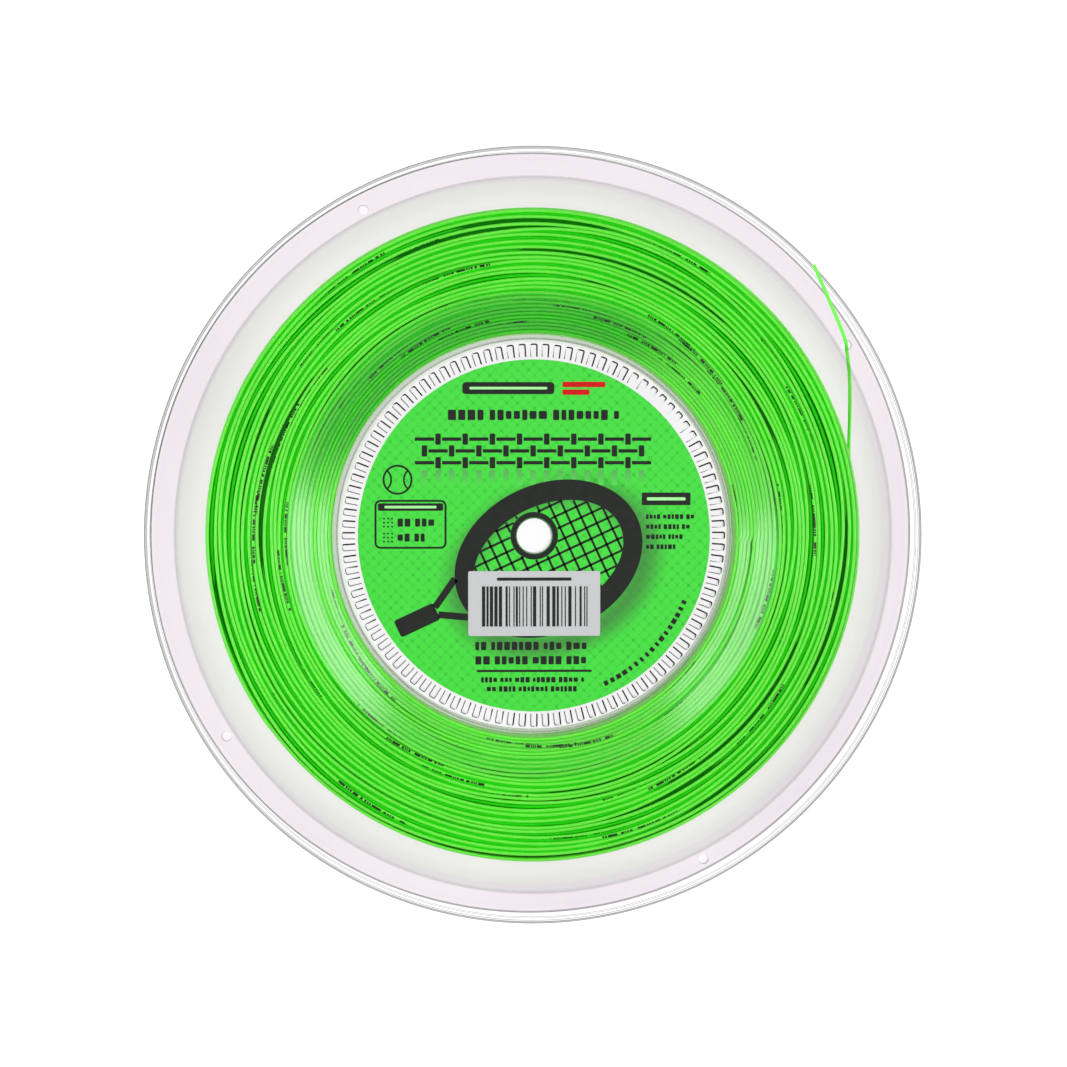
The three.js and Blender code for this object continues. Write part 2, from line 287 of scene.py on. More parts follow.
# The two clear halves.
spool = {
    "radius": 135, "thickness": 28, "wall": 1.6, "fitGap": 0.3, "steps": 224,
    "beadInner": 132.4, "beadHeight": 3.2, "bandRecess": 1, "bandInner": 124.5,
    "webRadius": 120, "webRecess": 4.6, "innerShift": 0.56,  # keeps the wall even round the shoulder
    "boreRadius": 6, "collarRadius": 7.6, "collarTop": 13.85,
    "drumRadius": 70.4, "drumInner": 68.8, "crownLand": 67.2, "crownDepth": 5,
    "toothRoot": 62.3, "toothTip": 66.9, "sleeveInner": 60.7, "toothCount": 100, "toothWidth": 2.6, "toothRound": 0.6,
    "ringOverlap": 0.1,  # how far a ring of teeth reaches into its half
    "toothEdge": 0.54, "faintShare": 0.7, "shadedSide": 0.35, "edgeStart": 0.3,  # painted grey lines along a tooth's edges, darker as painted shade on one side
    "toothWeld": 0.01, "sliverArea": 0.01,
    "holeRadius": 1.7, "holeFlare": 0.3, "holeCircle": 127.19, "holeAngles": (31.4, 117.7, 213, 297.6),
    "drillHeight": 26.2, "drillLength": 4, "drillSides": 32,
    # how much a corner is rounded, in how many segments
    "softRound": (1.4, 5), "rimRound": (1.0, 5), "beadRound": (0.6, 4), "drumRound": (0.4, 3), "edgeRound": (0.3, 2),
}
webInside = spool["webRecess"] + spool["wall"]
frontWebInside = spool["thickness"] - webInside
drumTop = frontWebInside - spool["fitGap"]

clearPlastic = {
    "cloudScale": 14.0, "cloudFrom": 0.4, "cloudTo": 0.7,  # clouds about 70 mm across
    "facingPower": 5.0,  # how late a face's reflections grow towards its rim
    "rimNoiseScale": 60.0, "rimPaintedGreenShare": 0.35,  # share of painted green on the drum's rim, standing in for the string's light that it gathers
}
dish = {
    "inner": 71.5, "innerFade": 0.5, "outer": 86, "outerFade": 2.5, "rise": 2.2, "gloss": 0.055,
    "crease": 76.4, "creaseHalf": 0.9, "creaseFade": 0.6, "creaseShare": 0.25,
}


# Clear crystal polystyrene, injection moulded: see-through, faintly grey on the web and its shoulder, with a cold
# lavender cast on the front's thick flat band, and white reflections that grow to a face's rim. The ring of the web
# next to the hub is slightly dished, and there it throws back the soft boxes as pale patches over the string.
def clearMaterial(name, zones, cloud, roughness, shine=1.0, dished=False, mirrorTint="#ffffff"):
    c, d = clearPlastic, dish
    material, tree = newMaterial(name)
    radius = radiusInMm(tree)
    share = addNode(tree, "Math", {"operation": "DIVIDE", 1: spool["radius"]}, {0: radius})
    ramp = addNode(tree, "ValToRGB", links={0: share})
    while len(ramp.color_ramp.elements) < len(zones):
        ramp.color_ramp.elements.new(1)
    for element, (zoneRadius, code) in zip(ramp.color_ramp.elements, zones):
        element.position = zoneRadius / spool["radius"]
        element.color = linearColour(code)
    coordinates = addNode(tree, "TexCoord").outputs["Object"]
    clouds = addNode(tree, "TexNoise", {"Scale": c["cloudScale"], "Detail": 2.0}, {"Vector": coordinates})
    amount = addNode(tree, "MapRange", {1: c["cloudFrom"], 2: c["cloudTo"]}, {0: clouds})
    tinted = addNode(tree, "Mix", {"data_type": "RGBA", "blend_type": "MULTIPLY", 7: linearColour(cloud)},
                     {0: amount, 6: ramp.outputs["Color"]})
    through = addNode(tree, "BsdfTransparent", links={"Color": tinted.outputs[2]})
    gloss = addNode(tree, "BsdfGlossy", {"Roughness": roughness, "Color": linearColour(mirrorTint)})
    facing = addNode(tree, "LayerWeight", {"Blend": 0.5}).outputs["Facing"]
    mirrored = addNode(tree, "Math", {"operation": "POWER", 1: c["facingPower"]}, {0: facing})
    mirrored = addNode(tree, "Math", {"operation": "MULTIPLY", 1: shine}, {0: mirrored})
    if dished:
        slope = addNode(tree, "MapRange", {1: d["inner"], 2: d["outer"]}, {0: radius})
        bump = addNode(tree, "Bump", {"Strength": 1.0, "Distance": d["rise"] * metresPerMm}, {"Height": slope})
        tree.links.new(bump.outputs[0], gloss.inputs["Normal"])
        gap = addNode(tree, "Math", {"operation": "SUBTRACT", 1: d["crease"]}, {0: radius})
        gap = addNode(tree, "Math", {"operation": "ABSOLUTE"}, {0: gap})
        gap = addNode(tree, "MapRange", {1: d["creaseHalf"], 2: d["creaseHalf"] + d["creaseFade"],
                                         3: d["creaseShare"], 4: 1.0}, {0: gap})
        start = addNode(tree, "MapRange", {1: d["inner"], 2: d["inner"] + d["innerFade"]}, {0: radius})
        end = addNode(tree, "MapRange", {1: d["outer"] - d["outerFade"], 2: d["outer"], 3: d["gloss"], 4: 0.0},
                      {0: radius})
        zone = addNode(tree, "Math", {"operation": "MULTIPLY"}, {0: gap, 1: start})
        zone = addNode(tree, "Math", {"operation": "MULTIPLY"}, {0: zone, 1: end})
        mirrored = addNode(tree, "Math", {"operation": "MAXIMUM"}, {0: zone, 1: mirrored})
    mixed = addNode(tree, "MixShader", links={0: mirrored, 1: through, 2: gloss})
    addNode(tree, "OutputMaterial", links={"Surface": mixed})
    return material


# Tints of the plastic, each from its radius outwards. The grey rings at 68.7 and 124.3 mm in front, and the edge and
# tooth tints, are painted lines and painted shade where clear plastic looks dark.
frontZones = [
    (0, "#ffffff"), (67, "#ffffff"), (67.6, "#f5f8f3"), (68.5, "#f5f8f3"), (68.7, "#8c8c8a"), (68.9, "#8c8c8a"),
    (69.1, "#ffffff"), (72, "#f9f9f8"), (116, "#f9f9f8"), (120, "#f5f5f4"), (123.6, "#f3f3f2"), (124.3, "#e8e8e7"),
    (124.7, "#e8e8e7"), (124.9, "#fcfafb"), (132.2, "#fcfafb"), (132.6, "#fefefe"),
]
rearZones = [
    (0, "#ffffff"), (70, "#ffffff"), (72, "#f9f9f8"), (120, "#f8f8f7"), (124.5, "#f7f7f6"), (125, "#f6f4f6"),
    (135, "#f6f4f6"),
]
paintedEdgeLineZones = [(60, "#80807f"), (67, "#80807f"), (110, "#bcbcbc"), (135, "#bcbcbc")]
toothPaintedShadeZones = [(60, "#343434"), (67, "#2c2c2c")]
drumZones = [(68, "#fcfefb"), (71, "#fafcf9")]
frontPolystyrene = clearMaterial("clearPolystyreneFront", frontZones, "#fefdfe", 0.12, dished=True)
rearPolystyrene = clearMaterial("clearPolystyreneRear", rearZones, "#fefefe", 0.12)
paintedEdgeLinePolystyrene = clearMaterial("clearPolystyreneEdgePaintedLines", paintedEdgeLineZones, "#fafafa", 0.15)
toothPaintedShadePolystyrene = clearMaterial("clearPolystyreneToothPaintedShade", toothPaintedShadeZones, "#e8e8e8", 0.15, 0.3)
drumPolystyrene = clearMaterial("clearPolystyreneDrum", drumZones, "#fcfcfc", 0.2, 0.1)
drumBackPaintedGreenPolystyrene = clearMaterial("clearPolystyreneDrumBackPaintedGreen", drumZones, "#fcfcfc", 0.12, 1.7,
                                    mirrorTint="#a0f084")  # painted green reflection, standing in for light that runs along it and picks up the string's green


# The drum's narrow rim, with a painted green mixed into the clear wall, standing in for the string's light that the
# wall gathers.
def drumRimPaintedGreenMaterial():
    c = clearPlastic
    material, tree = newMaterial("clearPolystyreneDrumRimPaintedGreen")
    coordinates = addNode(tree, "TexCoord").outputs["Object"]
    green = mottled(tree, coordinates, c["rimNoiseScale"], 2.0, "#98f06c", "#80e455")
    paintedGreen = addNode(tree, "BsdfDiffuse", links={"Color": green})
    through = addNode(tree, "BsdfTransparent", {"Color": linearColour("#f8faf7")})
    mixed = addNode(tree, "MixShader", {0: c["rimPaintedGreenShare"]}, {1: through, 2: paintedGreen})
    addNode(tree, "OutputMaterial", links={"Surface": mixed})
    return material


drumRimPaintedGreenPolystyrene = drumRimPaintedGreenMaterial()


# Outline of one half. Heights count from the rim's plane inwards, and both halves share the flange.
def flangeOutline():
    s = spool
    soft, rim, edge = s["softRound"], s["rimRound"], s["edgeRound"]
    return [
        (s["boreRadius"], s["webRecess"], *edge),
        (s["webRadius"], s["webRecess"], *soft),
        (s["bandInner"], s["bandRecess"], *soft),
        (s["beadInner"], s["bandRecess"]),
        (s["beadInner"], 0, *s["beadRound"]),
        (s["radius"], 0, *rim),
        (s["radius"], s["beadHeight"], *rim),
        (s["beadInner"], s["beadHeight"], *edge),
        (s["beadInner"], s["bandRecess"] + s["wall"]),
        (s["bandInner"] + s["innerShift"], s["bandRecess"] + s["wall"], *soft),
        (s["webRadius"] + s["innerShift"], webInside, *soft),
    ]


def collarOutline():
    s = spool
    return [(s["collarRadius"], webInside), (s["collarRadius"], s["collarTop"], *s["edgeRound"]),
            (s["boreRadius"], s["collarTop"], *s["edgeRound"])]


# Material slots of both halves. The edge, tooth and drumRim slots hold painted grey lines, painted shade and painted
# green light, and the drumBack slot a painted green reflection.
finish = {"wall": 0, "edge": 1, "tooth": 2, "drum": 3, "drumRim": 4, "drumBack": 5}


# A ring of teeth: one tooth's sector is copied round, and its faces are pulled up into a solid. Given a width, strips
# along the teeth's edges get painted grey lines, with darker painted shade on the side that faces +x and +y.
def toothRing(rootRadius, tipRadius, ringRadius, halfWidth, bottom, top, edgeWidth=0, turn=0):
    s = spool
    half = fullTurn / s["toothCount"] / 2
    rootX = math.sqrt(rootRadius**2 - halfWidth**2)
    outline = [onCircle(ringRadius, -half), onCircle(rootRadius, -half), (rootX, -halfWidth),
               (tipRadius, -halfWidth), (tipRadius, halfWidth), (rootX, halfWidth),
               onCircle(rootRadius, half), onCircle(ringRadius, half)]
    bm = bmesh.new()
    verts = [bm.verts.new((x, y, 0)) for x, y in outline]
    bm.faces.new(verts[:3] + verts[5:])
    bm.faces.new(verts[2:6])
    if edgeWidth:
        bmesh.ops.bevel(bm, geom=verts[3:5], offset=s["toothRound"], offset_type="OFFSET", affect="VERTICES",
                        segments=2, profile=0.5, material=-1)
    bmesh.ops.spin(bm, geom=bm.verts[:] + bm.edges[:] + bm.faces[:], cent=(0, 0, 0), axis=(0, 0, 1),
                   angle=fullTurn, steps=s["toothCount"], use_duplicate=True)
    bmesh.ops.remove_doubles(bm, verts=bm.verts, dist=s["toothWeld"])
    bmesh.ops.delete(bm, geom=[f for f in bm.faces if f.calc_area() < s["sliverArea"]], context="FACES_ONLY")
    lids = raiseFaces(bm, top - bottom)
    if edgeWidth:
        shaded, faint = [], []
        for edge in bm.edges:
            walls = [f for f in edge.link_faces if f not in lids]
            middle = (edge.verts[0].co + edge.verts[1].co).xy / 2
            if len(walls) == 1 and len(edge.link_faces) == 2 and middle.length > rootRadius + s["edgeStart"]:
                facing = walls[0].normal
                (shaded if facing.x + facing.y > s["shadedSide"] else faint).append(edge)
        faintWidth = edgeWidth * s["faintShare"]
        for edges, width, index in ((shaded, edgeWidth, finish["tooth"]), (faint, faintWidth, finish["edge"])):
            bmesh.ops.bevel(bm, geom=[e for e in edges if e.is_valid], offset=width, offset_type="OFFSET",
                            affect="EDGES", segments=2, profile=0.5, material=index, clamp_overlap=False)
    place = Matrix.Translation((0, 0, bottom)) @ Matrix.Rotation(turn, 4, "Z")
    bmesh.ops.transform(bm, matrix=place, verts=bm.verts)
    return bm


def joinInto(bm, other):
    mesh = bpy.data.meshes.new("joining")
    other.to_mesh(mesh)
    other.free()
    bm.from_mesh(mesh)
    bpy.data.meshes.remove(mesh)


# Which of the rounded corners' strips show as lines: radii, and how level a face lies, from 0 upright to 1 flat.
edgeLines = {
    "widest": 0.5, "upright": 0.1, "flat": 0.995,
    "drumFrom": 68, "drumMiddle": 69.6, "drumTo": 71,
    "rimFrom": 133.6, "rimSteep": 0.75, "beadFrom": 131.5, "beadSteep": 0.6, "beadDepth": 1.5,
    "nearlyFlat": 0.95, "boreTo": 10,
}


# Strips of the rounded corners get a painted grey tint, which stands in for the thin dark lines that clear mouldings
# show there: on both halves' beads, and round the front half's bore. The drum's wall and rim get materials of their
# own, the rim a painted green.
def markEdges(bm, front):
    m = edgeLines
    for face in bm.faces:
        width = min(e.calc_length() for e in face.edges)
        level = abs(face.normal.z)
        middle = face.calc_center_median()
        radius = middle.xy.length
        if m["drumFrom"] < radius < m["drumTo"]:
            wall = finish["drum"] if radius < m["drumMiddle"] else finish["drumBack"]
            face.material_index = finish["drumRim"] if level > m["upright"] else wall
        elif width < m["widest"] and m["upright"] < level < m["flat"]:
            outside = radius > m["rimFrom"] and (level < m["rimSteep"] or front and level > m["nearlyFlat"])
            inside = (m["beadFrom"] < radius < m["rimFrom"] and middle.z < m["beadDepth"]
                      and (level < m["beadSteep"] or level > m["nearlyFlat"]))
            lined = outside or front and (inside or radius < m["boreTo"])
            face.material_index = finish["edge"] if lined else finish["wall"]


def spoolHalf(name, corners, teeth, front):
    s = spool
    bm = turnedShell(corners, s["steps"])
    markEdges(bm, front)
    joinInto(bm, teeth)
    if front:
        flip = Matrix.Translation((0, 0, s["thickness"])) @ Matrix.Rotation(math.pi, 4, "X")
        bmesh.ops.transform(bm, matrix=flip, verts=bm.verts)
    materials = [frontPolystyrene if front else rearPolystyrene, paintedEdgeLinePolystyrene, toothPaintedShadePolystyrene,
                 drumPolystyrene, drumRimPaintedGreenPolystyrene, drumBackPaintedGreenPolystyrene]
    return finishPiece(name, bm, materials, [name.replace("clear_", "")])


# Drills the threading holes with a cutter that is removed again.
def drillHoles(piece):
    s = spool
    bm = bmesh.new()
    for degrees in s["holeAngles"]:
        spot = Matrix.Translation((*onCircle(s["holeCircle"], math.radians(degrees)), s["drillHeight"]))
        bmesh.ops.create_cone(bm, cap_ends=True, segments=s["drillSides"], radius1=s["holeRadius"] - s["holeFlare"],
                              radius2=s["holeRadius"] + s["holeFlare"], depth=s["drillLength"], matrix=spot)
    bmesh.ops.scale(bm, vec=(metresPerMm,) * 3, verts=bm.verts)
    mesh = bpy.data.meshes.new("drill")
    bm.to_mesh(mesh)
    bm.free()
    for material in piece.data.materials:
        mesh.materials.append(material)
    # The hole walls get the painted grey edge tint.
    for face in mesh.polygons:
        face.material_index = finish["edge"]
    cutter = newObject("drill", mesh)
    cut = piece.modifiers.new("drill", "BOOLEAN")
    cut.operation = "DIFFERENCE"
    cut.solver = "EXACT"
    cut.object = cutter
    evaluated = piece.evaluated_get(bpy.context.evaluated_depsgraph_get())
    drilled = bpy.data.meshes.new_from_object(evaluated)
    piece.modifiers.clear()
    piece.data = drilled
    bpy.data.objects.remove(cutter)


ringBottom = webInside - spool["ringOverlap"]
rearTeeth = toothRing(spool["toothRoot"], spool["toothTip"], spool["sleeveInner"], spool["toothWidth"] / 2,
                      ringBottom, drumTop, spool["toothEdge"])
spoolHalf("clear_rear_half", flangeOutline() + collarOutline(), rearTeeth, False)

drumRound = spool["drumRound"]
drumOutline = [(spool["drumRadius"], webInside, *drumRound), (spool["drumRadius"], drumTop, *drumRound),
               (spool["drumInner"], drumTop, *drumRound), (spool["drumInner"], webInside)]
toothPitch = fullTurn / spool["toothCount"]
frontToothWidth = toothPitch * spool["toothRoot"] - spool["toothWidth"] - 2 * spool["fitGap"]
frontTeeth = toothRing(spool["crownLand"], spool["toothRoot"] + spool["fitGap"],
                       spool["drumInner"] + spool["ringOverlap"], frontToothWidth / 2,
                       ringBottom, webInside + spool["crownDepth"], turn=toothPitch / 2)
frontHalf = spoolHalf("clear_front_half", flangeOutline() + drumOutline + collarOutline(), frontTeeth, True)
drillHoles(frontHalf)
print("spool halves moulded")


# The wound string.
pack = {
    "seed": 41,
    "inner": 71.2, "outer": 113.7, "outerSlack": 0.05,
    "frontHeight": 20.85, "rearHeight": 7.15,
    "stepsPerTurn": 180, "topTurns": 25.6,
    "closeness": 0.76, "leastPitch": 1.01,  # of the string's diameter, from one turn to the next
    "wander": 0.7, "wanderStart": 0.25, "wanderGrowth": 1.1, "calming": 12, "wanderEnd": 0.05,
    "dip": 0.4, "dipBias": 0.15, "nesting": 0.72, "nestShift": 2,
    "drop": 1.1, "dropFrom": 0.14, "dropSteepness": 4,
    "sideTurns": 10.6, "sideRadius": 113.675, "sideTop": 20.4, "sideDip": 0.25, "sideCalming": 8,
    "endAngle": 6.78,
    # how many waves, and the slowest and the fastest in waves a turn
    "swayWaves": (7, 0.6, 5.3), "dipWaves": (6, 0.4, 3.7), "dropWaves": (6, 0.7, 4.1), "sideWaves": (6, 0.5, 4.5),
    "coreOutline": [
        (70.7, 7.5, 0.2, 2), (73.2, 7.5), (74, 8.2), (112.6, 8.2, 0.8, 3),
        (112.6, 19.8, 0.8, 3), (74, 19.8), (73.2, 20.5), (70.7, 20.5, 0.2, 2),
    ],
    "coreSteps": 128, "coreBright": 73.8,  # within this radius it has the string's own green, outside it the painted shade of the deep layers
}


# Slow random waves along a strand, the same each run.
def waves(rng, count, slowest, fastest):
    rows = [(rng.uniform(slowest, fastest), rng.uniform(0, fullTurn), rng.uniform(0.4, 1)) for i in range(count)]
    total = sum(row[2] for row in rows)
    return lambda angle: sum(a * math.sin(f * angle + p) for f, p, a in rows) / total


# Radii of a flat spiral, step by step. Its turns wander but never lie in each other, and the last ones are calm.
def spiralRadii(rng):
    p = pack
    steps = p["stepsPerTurn"]
    sideways = waves(rng, *p["swayWaves"])
    radii = []
    for i in range(int(p["topTurns"] * steps) + 1):
        turn = i / steps
        share = turn / p["topTurns"]
        looseness = p["wander"] * min(1, p["wanderStart"] + p["wanderGrowth"] * share)
        looseness *= min(1, p["calming"] * (1 - share) + p["wanderEnd"])
        climb = max(0, turn - 1) / (p["topTurns"] - 1)
        climb = climb * (p["closeness"] + (1 - p["closeness"]) * climb)
        radius = p["inner"] + (p["outer"] - p["inner"]) * climb
        radius += looseness * sideways(turn * fullTurn) * min(2, turn)
        if i >= steps:
            radius = max(radius, radii[i - steps] + string["diameter"] * p["leastPitch"])
        radii.append(min(radius, p["outer"] + p["outerSlack"]))
    return radii


# The face strand, and the one that lies in the grooves between its turns.
def faceRoutes(rng, height, inward):
    p = pack
    steps = p["stepsPerTurn"]
    radii = spiralRadii(rng)
    dipping = waves(rng, *p["dipWaves"])
    dropping = waves(rng, *p["dropWaves"])
    top, below = [], []
    for i, radius in enumerate(radii):
        angle = i / steps * fullTurn
        depth = p["dip"] * max(0, dipping(angle) + p["dipBias"])
        top.append((*onCircle(radius, angle), height + inward * depth))
        if i + steps < len(radii):
            middle = (radius + radii[i + steps]) / 2
            depth = p["nesting"] + p["dip"] * max(0, dipping(angle + p["nestShift"]))
            depth += p["drop"] * min(1, p["dropSteepness"] * max(0, dropping(angle) - p["dropFrom"]))
            below.append((*onCircle(middle, angle), height + inward * depth))
    return top, below


# The strand round the pack's outside, from the front face back to the rear one.
def sideRoute(rng):
    p = pack
    inward = waves(rng, *p["sideWaves"])
    count = int(p["sideTurns"] * p["stepsPerTurn"])
    route = []
    for i in range(count + 1):
        share = i / count
        angle = math.radians(p["endAngle"]) - (count - i) / p["stepsPerTurn"] * fullTurn
        radius = p["sideRadius"] - p["sideDip"] * max(0, inward(angle)) * min(1, p["sideCalming"] * (1 - share))
        route.append((*onCircle(radius, angle), p["sideTop"] + (p["rearHeight"] - p["sideTop"]) * share))
    return route


# One strand as a mesh tube with its own length and girth in its UV map.
def strand(name, route, material, replaced=()):
    curve = stringCurve(name, 2)
    curve.twist_mode = "Z_UP"
    spline = curve.splines.new("POLY")
    spline.points.add(len(route) - 1)
    for knot, (x, y, z) in zip(spline.points, route):
        knot.co = (x * metresPerMm, y * metresPerMm, z * metresPerMm, 1)
    carrier = newObject(name, curve)
    mesh = bpy.data.meshes.new_from_object(carrier.evaluated_get(bpy.context.evaluated_depsgraph_get()))
    bpy.data.objects.remove(carrier)
    mesh.name = name
    mesh.materials.clear()
    mesh.materials.append(material)
    for polygon in mesh.polygons:
        polygon.use_smooth = True
    placePiece(name, mesh, replaced)


rng = random.Random(pack["seed"])
frontTop, frontBelow = faceRoutes(rng, pack["frontHeight"], -1)
rearTop, rearBelow = faceRoutes(rng, pack["rearHeight"], 1)
# The face strands carry the print, and the painted shade near the drum.
printed = stringMaterial("printedPolyesterPaintedShade", "#78ff4a", "#60fa34", 0.5,
                         sum(math.dist(a, b) for a, b in zip(frontTop, frontTop[1:])))
strand("string_front_strands", frontTop, printed, ["string_winding"])
strand("string_front_grooves", frontBelow, polyesterBelowPaintedShade)
strand("string_rear_strands", rearTop, printed)
strand("string_rear_grooves", rearBelow, polyesterBelowPaintedShade)
strand("string_side_strands", sideRoute(rng), polyester)
core = turnedShell(pack["coreOutline"], pack["coreSteps"])
# The core is dark green as painted shade, except for its faces next to the drum.
for face in core.faces:
    face.material_index = int(face.calc_center_median().xy.length < pack["coreBright"])
finishPiece("string_inner_layers", core, [polyesterDeepPaintedShade, polyester], ["string_core"])
print("string wound")


# Printed label round the bore.
label = {"radius": 61.3, "hole": 6.3, "bottom": 23.45, "top": 23.65, "edgeRound": (0.05, 1), "steps": 192}
artwork = {
    "inkDepth": 0.03,
    "hatchPitch": 2.72,  # between the fine diagonal lines
    "racketCentre": (5, -8), "racketTilt": 25, "racketOuter": (34, 26), "racketInner": (27.4, 18.6),
    "stringPitch": 4.1, "stringWidth": 0.8, "boreClearance": 8.4, "frameGap": 0.1, "shortest": 1,
    "throat": (-32.4, -43), "throatHalf": (7.5, 1.4), "throatWidth": 2.4,
    "handleEnd": -58, "handleWidth": 6.4, "handleRound": 0.9,
    "shadowOffset": (1.5, -3.5), "shadowGrowth": 1.12,
    "stripLeft": -40.5, "stripPitch": 4.72, "stripCount": 17, "stripRows": (25.4, 29.5, 33.6),
    "stripStroke": 1.9, "stripHeight": 3.9, "stripRound": 0.35,
    "crossReach": 1.42, "crossHeight": 1.2, "crossRound": 0.25,
    "echoBottom": 17.5, "echoGap": 2.6,
    # bars: x, y, width, height and rounding
    "titleBar": (-9, 51.3, 32, 4.2, 1.2), "panelHead": (-43, 10, 22.6, 2.6, 0.5), "sideBar": (46, 12.8, 17, 4.4, 0.4),
    "rule": (0, -47.1, 40, 0.8, 0),
    "redBars": ((17.3, 52.6, 15, 1.9, 0.5), (14.55, 49.9, 9.5, 1.9, 0.5)),
    "paleBars": ((46, 12.8, 13.5, 1.1, 0.4), (-43, 10, 18, 0.9, 0.3), (-9, 51.3, 27, 0.9, 0.3)),
    "panel": (-43, 4, 25, 17, 2), "panelInside": (-43, 4, 23.6, 15.6, 1.4),
    # rows of blocks: left, y, width and height
    "titleRow": (-30, 42, 60, 3.6), "panelRows": ((-47.5, 4.6, 14.5, 2.8), (-47.5, -0.6, 10.5, 2.8)),
    "sideRows": ((39, 6.6, 17.5, 1.7), (39, 3.1, 15.4, 1.7), (39, -0.4, 13.3, 1.7), (39, -3.9, 11.2, 1.7)),
    "lowerRows": ((-20.5, -38.4, 41, 2.9), (-20.5, -43.4, 41, 2.9)),
    "footRows": ((-18.5, -50.2, 37, 1.9), (-16.5, -53.4, 33, 1.9)),
    "dotsLeft": -52.2, "dotPitch": 1.4, "dotSize": 0.6, "dotRound": 0.15,
    "arcRadius": 57.2, "arcStart": 296, "arcStep": 2.5, "arcBlocks": 17, "arcWidth": 1.7, "arcHeights": (1, 1.9),
    "arcRound": 0.2,
    "ball": (-47.5, 19.5), "ballOuter": 5.2, "ballInner": 4.5,
    "seamAway": 6.4, "seamRadius": 4.2, "seamSteps": 4, "seamAngle": 10, "seamDash": (0.6, 0.8),
    "boreRingOuter": 8.3, "boreRingInner": 6.4,
}


labelGreen = "#40d23c"


# Wave texture's scale for a band that repeats after so many millimetres.
def waveScale(mm):
    return math.pi / 10 / (mm * metresPerMm)


# Coated paper under a clear laminate, bright green with a fine darker diamond hatch, and a soft shadow printed
# behind the racket.
def labelMaterial():
    a = artwork
    material, tree = newMaterial("laminatedLabelPaper")
    coordinates = addNode(tree, "TexCoord").outputs["Object"]
    turned = addNode(tree, "Mapping", {"Rotation": (0, 0, math.radians(45))}, {"Vector": coordinates})
    lines, reaches, arms = [], [], []
    for way in "XY":
        wave = addNode(tree, "TexWave", {"bands_direction": way, "Scale": waveScale(a["hatchPitch"]),
                                         "Distortion": 0.0}, {"Vector": turned}).outputs["Fac"]
        lines.append(addNode(tree, "MapRange", {1: 0.85, 2: 1.0}, {0: wave}))
        reaches.append(addNode(tree, "MapRange", {1: 0.15, 2: 0.6, 3: 0.3, 4: 1.0}, {0: wave}))
    for line, reach in ((lines[0], reaches[1]), (lines[1], reaches[0])):
        arms.append(addNode(tree, "Math", {"operation": "MULTIPLY"}, {0: line, 1: reach}))
    hatch = addNode(tree, "Math", {"operation": "MAXIMUM"}, {0: arms[0], 1: arms[1]})
    mottle = addNode(tree, "TexNoise", {"Scale": 420.0, "Detail": 2.0}, {"Vector": coordinates})
    worn = addNode(tree, "MapRange", {1: 0.35, 2: 0.65, 3: 0.15, 4: 0.9}, {0: mottle})
    strength = addNode(tree, "Math", {"operation": "MULTIPLY"}, {0: hatch, 1: worn})
    green = addNode(tree, "Mix", {"data_type": "RGBA", 6: linearColour(labelGreen), 7: linearColour("#2dac2c")},
                    {0: strength})
    place = [(c + shift) * metresPerMm for c, shift in zip(a["racketCentre"], a["shadowOffset"])]
    size = [side * a["shadowGrowth"] * metresPerMm for side in a["racketOuter"]]
    shadow = addNode(tree, "Mapping", {"vector_type": "TEXTURE", "Location": (*place, 0), "Scale": (*size, 1),
                                       "Rotation": (0, 0, math.radians(a["racketTilt"]))},
                     {"Vector": coordinates})
    flat = addNode(tree, "VectorMath", {"operation": "MULTIPLY", 1: (1, 1, 0)}, {0: shadow})
    away = addNode(tree, "VectorMath", {"operation": "LENGTH"}, {0: flat}).outputs["Value"]
    falling = addNode(tree, "MapRange", {"interpolation_type": "SMOOTHSTEP", 1: 0.86, 2: 1.16, 3: 0.75, 4: 0.0},
                      {0: away})
    rising = addNode(tree, "MapRange", {"interpolation_type": "SMOOTHSTEP", 1: 0.62, 2: 0.86, 3: 0.0, 4: 1.0},
                     {0: away})
    soft = addNode(tree, "Math", {"operation": "MULTIPLY"}, {0: falling, 1: rising})
    shaded = addNode(tree, "Mix", {"data_type": "RGBA", 7: linearColour("#3c6a38")}, {0: soft, 6: green.outputs[2]})
    return coated(material, shaded.outputs[2], 0.4, 0.3)


# Paper or the ink on it: one flat colour with the paper's faint grain in it.
def paperMaterial(name, code, grain, roughness=0.5, specular=0.2, grainScale=400.0, stretch=1):
    material, tree = newMaterial(name)
    coordinates = addNode(tree, "TexCoord").outputs["Object"]
    fibres = addNode(tree, "Mapping", {"Scale": (1, stretch, 1)}, {"Vector": coordinates})
    return coated(material, mottled(tree, fibres, grainScale, 3.0, code, grain), roughness, specular)


# The strip's echo fades out downwards, from grey into the label's green.
def echoMaterial():
    material, tree = newMaterial("fadingInk")
    coordinates = addNode(tree, "TexCoord").outputs["Object"]
    upward = addNode(tree, "SeparateXYZ", links={0: coordinates}).outputs["Y"]
    top = (artwork["stripRows"][0] - 1.4) * metresPerMm
    fade = addNode(tree, "MapRange", {1: artwork["echoBottom"] * metresPerMm, 2: top, 3: 0.0, 4: 0.75}, {0: upward})
    mixed = addNode(tree, "Mix", {"data_type": "RGBA", 6: linearColour(labelGreen), 7: linearColour("#5a6f58")},
                    {0: fade})
    return coated(material, mixed.outputs[2], 0.35)


